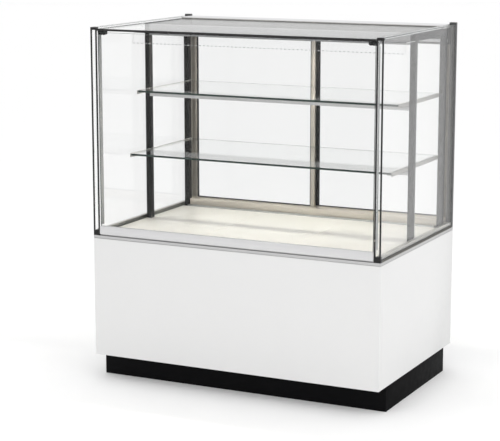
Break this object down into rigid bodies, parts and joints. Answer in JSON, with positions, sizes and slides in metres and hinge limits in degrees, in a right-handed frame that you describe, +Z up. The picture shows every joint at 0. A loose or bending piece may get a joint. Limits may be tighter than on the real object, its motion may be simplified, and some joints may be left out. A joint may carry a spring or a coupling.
{
  "type": "bakery display case",
  "caption": "Upright refrigerated counter case with glass sides and front, glass shelves, a light bar with a clear visor, rear sliding doors and a white cabinet base.",
  "frame": {"origin": "on the floor, at the centre of the case's width and depth", "axes": "+X along the width to the customer's right when facing the front glass, +Y from the front glass to the service doors, +Z up"},
  "size_m": [1.2, 0.774, 1.388],
  "materials": {
    "plinth_black": "black laminated board",
    "zinc_steel": "zinc-plated sheet",
    "white_laminate": "white laminated board, satin",
    "rear_sheet": "grey powder coat",
    "black_plastic": "moulded, fine grain",
    "switch_green": "gloss",
    "switch_black": "gloss",
    "button_grey": "moulded",
    "box_grey": "moulded",
    "liner_white": "foam-filled liner",
    "coil_aluminium": "fine fins",
    "fan_black": "moulded",
    "machine_black": "black enamel",
    "pipe_grey": "pipe plastic",
    "satin_aluminium": "satin anodised",
    "cream_coat": "cream powder coat",
    "stainless": "brushed",
    "sill_aluminium": "champagne anodised",
    "seal_black": "extruded",
    "seal_grey": "extruded",
    "clear_glass": "clear, polished edges",
    "shelf_glass": "clear, green edges",
    "spacer_aluminium": "mill finish",
    "clear_plastic": "clear",
    "black_trim": "satin black",
    "pin_steel": "ground",
    "profile_aluminium": "light satin anodised",
    "frame_grey": "anthracite powder coat",
    "housing_grey": "satin anodised",
    "led_lens": "warm white, lit",
    "bracket_grey": "light grey powder coat",
    "column_grey": "anthracite powder coat",
    "header_aluminium": "satin anodised",
    "rail_aluminium": "satin anodised",
    "door_aluminium": "satin anodised"
  },
  "bodies": {
    "case": {"plinth": "plinth_black", "levelling_feet": "zinc_steel", "base_floor": "zinc_steel", "front_panel": "white_laminate", "left_side_panel": "white_laminate", "right_side_panel": "white_laminate", "rear_grille": "rear_sheet", "panel_screws": "zinc_steel", "rear_fascia": "rear_sheet", "switch_housings": "black_plastic", "temperature_controller": "black_plastic", "power_inlet": "black_plastic", "electrical_box": "box_grey", "insulated_well": "liner_white", "evaporator": "coil_aluminium", "evaporator_fan_plate": "zinc_steel", "compressor": "machine_black", "condenser": "machine_black", "condenser_fan_shroud": "zinc_steel", "condensate_tray": "zinc_steel", "drain_pipe": "pipe_grey", "deck_frame": "satin_aluminium", "deck_pans": "cream_coat", "air_grilles": "stainless", "side_glass_gaskets": "seal_black", "side_panes": "clear_glass", "spacer_bars": "spacer_aluminium", "clear_edge_strips": "clear_plastic", "edge_guards": "black_trim", "corner_blocks": "black_plastic", "hinge_pins": "pin_steel", "top_front_trim": "black_trim", "corner_gaskets": "seal_grey", "top_glass": "clear_glass", "support_frames": "frame_grey", "light_housing": "housing_grey", "led_strip": "led_lens", "visor": "clear_plastic", "shelf_brackets": "bracket_grey", "shelf_crossbars": "satin_aluminium", "shelf_glasses": "shelf_glass", "rear_columns": "column_grey", "rear_top_rail": "rail_aluminium", "rear_header": "header_aluminium", "rear_sill": "sill_aluminium"},
    "front_glass": {"front_pane": "clear_glass", "front_profile": "profile_aluminium", "front_hinge_bar": "satin_aluminium", "front_catches": "black_plastic"},
    "left_door": {"left_door_frame": "door_aluminium", "left_door_glass": "clear_glass"},
    "right_door": {"right_door_frame": "door_aluminium", "right_door_glass": "clear_glass"},
    "condenser_rotor": {"condenser_fan": "fan_black"},
    "left_evaporator_rotor": {"left_evaporator_fan": "fan_black"},
    "right_evaporator_rotor": {"right_evaporator_fan": "fan_black"},
    "main_rocker": {"main_switch": "switch_green"},
    "light_rocker": {"light_switch": "switch_black"},
    "up_key": {"up_button": "button_grey"},
    "down_key": {"down_button": "button_grey"}
  },
  "joints": [
    {"name": "front_glass_tilt", "type": "hinge", "parent": "case", "child": "front_glass", "pos_m": [0, -0.3805, 0.5813], "axis": [1, 0, 0], "range_deg": [0, 45]},
    {"name": "left_door_slide", "type": "slide", "parent": "case", "child": "left_door", "axis": [1, 0, 0], "range_m": [0, 0.54]},
    {"name": "right_door_slide", "type": "slide", "parent": "case", "child": "right_door", "axis": [-1, 0, 0], "range_m": [0, 0.54]},
    {"name": "condenser_fan_spin", "type": "hinge", "parent": "case", "child": "condenser_rotor", "pos_m": [0.24, 0.284, 0.224], "axis": [0, 1, 0], "continuous": true},
    {"name": "left_evaporator_fan_spin", "type": "hinge", "parent": "case", "child": "left_evaporator_rotor", "pos_m": [-0.2, -0.125, 0.513], "axis": [0, 1, 0], "continuous": true},
    {"name": "right_evaporator_fan_spin", "type": "hinge", "parent": "case", "child": "right_evaporator_rotor", "pos_m": [0.2, -0.125, 0.513], "axis": [0, 1, 0], "continuous": true},
    {"name": "main_switch_rock", "type": "hinge", "parent": "case", "child": "main_rocker", "pos_m": [0.25, 0.379, 0.521], "axis": [1, 0, 0], "range_deg": [-12, 0]},
    {"name": "light_switch_rock", "type": "hinge", "parent": "case", "child": "light_rocker", "pos_m": [0.31, 0.379, 0.521], "axis": [1, 0, 0], "range_deg": [-12, 0]},
    {"name": "up_button_press", "type": "slide", "parent": "case", "child": "up_key", "axis": [0, -1, 0], "range_m": [0, 0.001], "stiffness_N_per_m": 400},
    {"name": "down_button_press", "type": "slide", "parent": "case", "child": "down_key", "axis": [0, -1, 0], "range_m": [0, 0.001], "stiffness_N_per_m": 400}
  ]
}
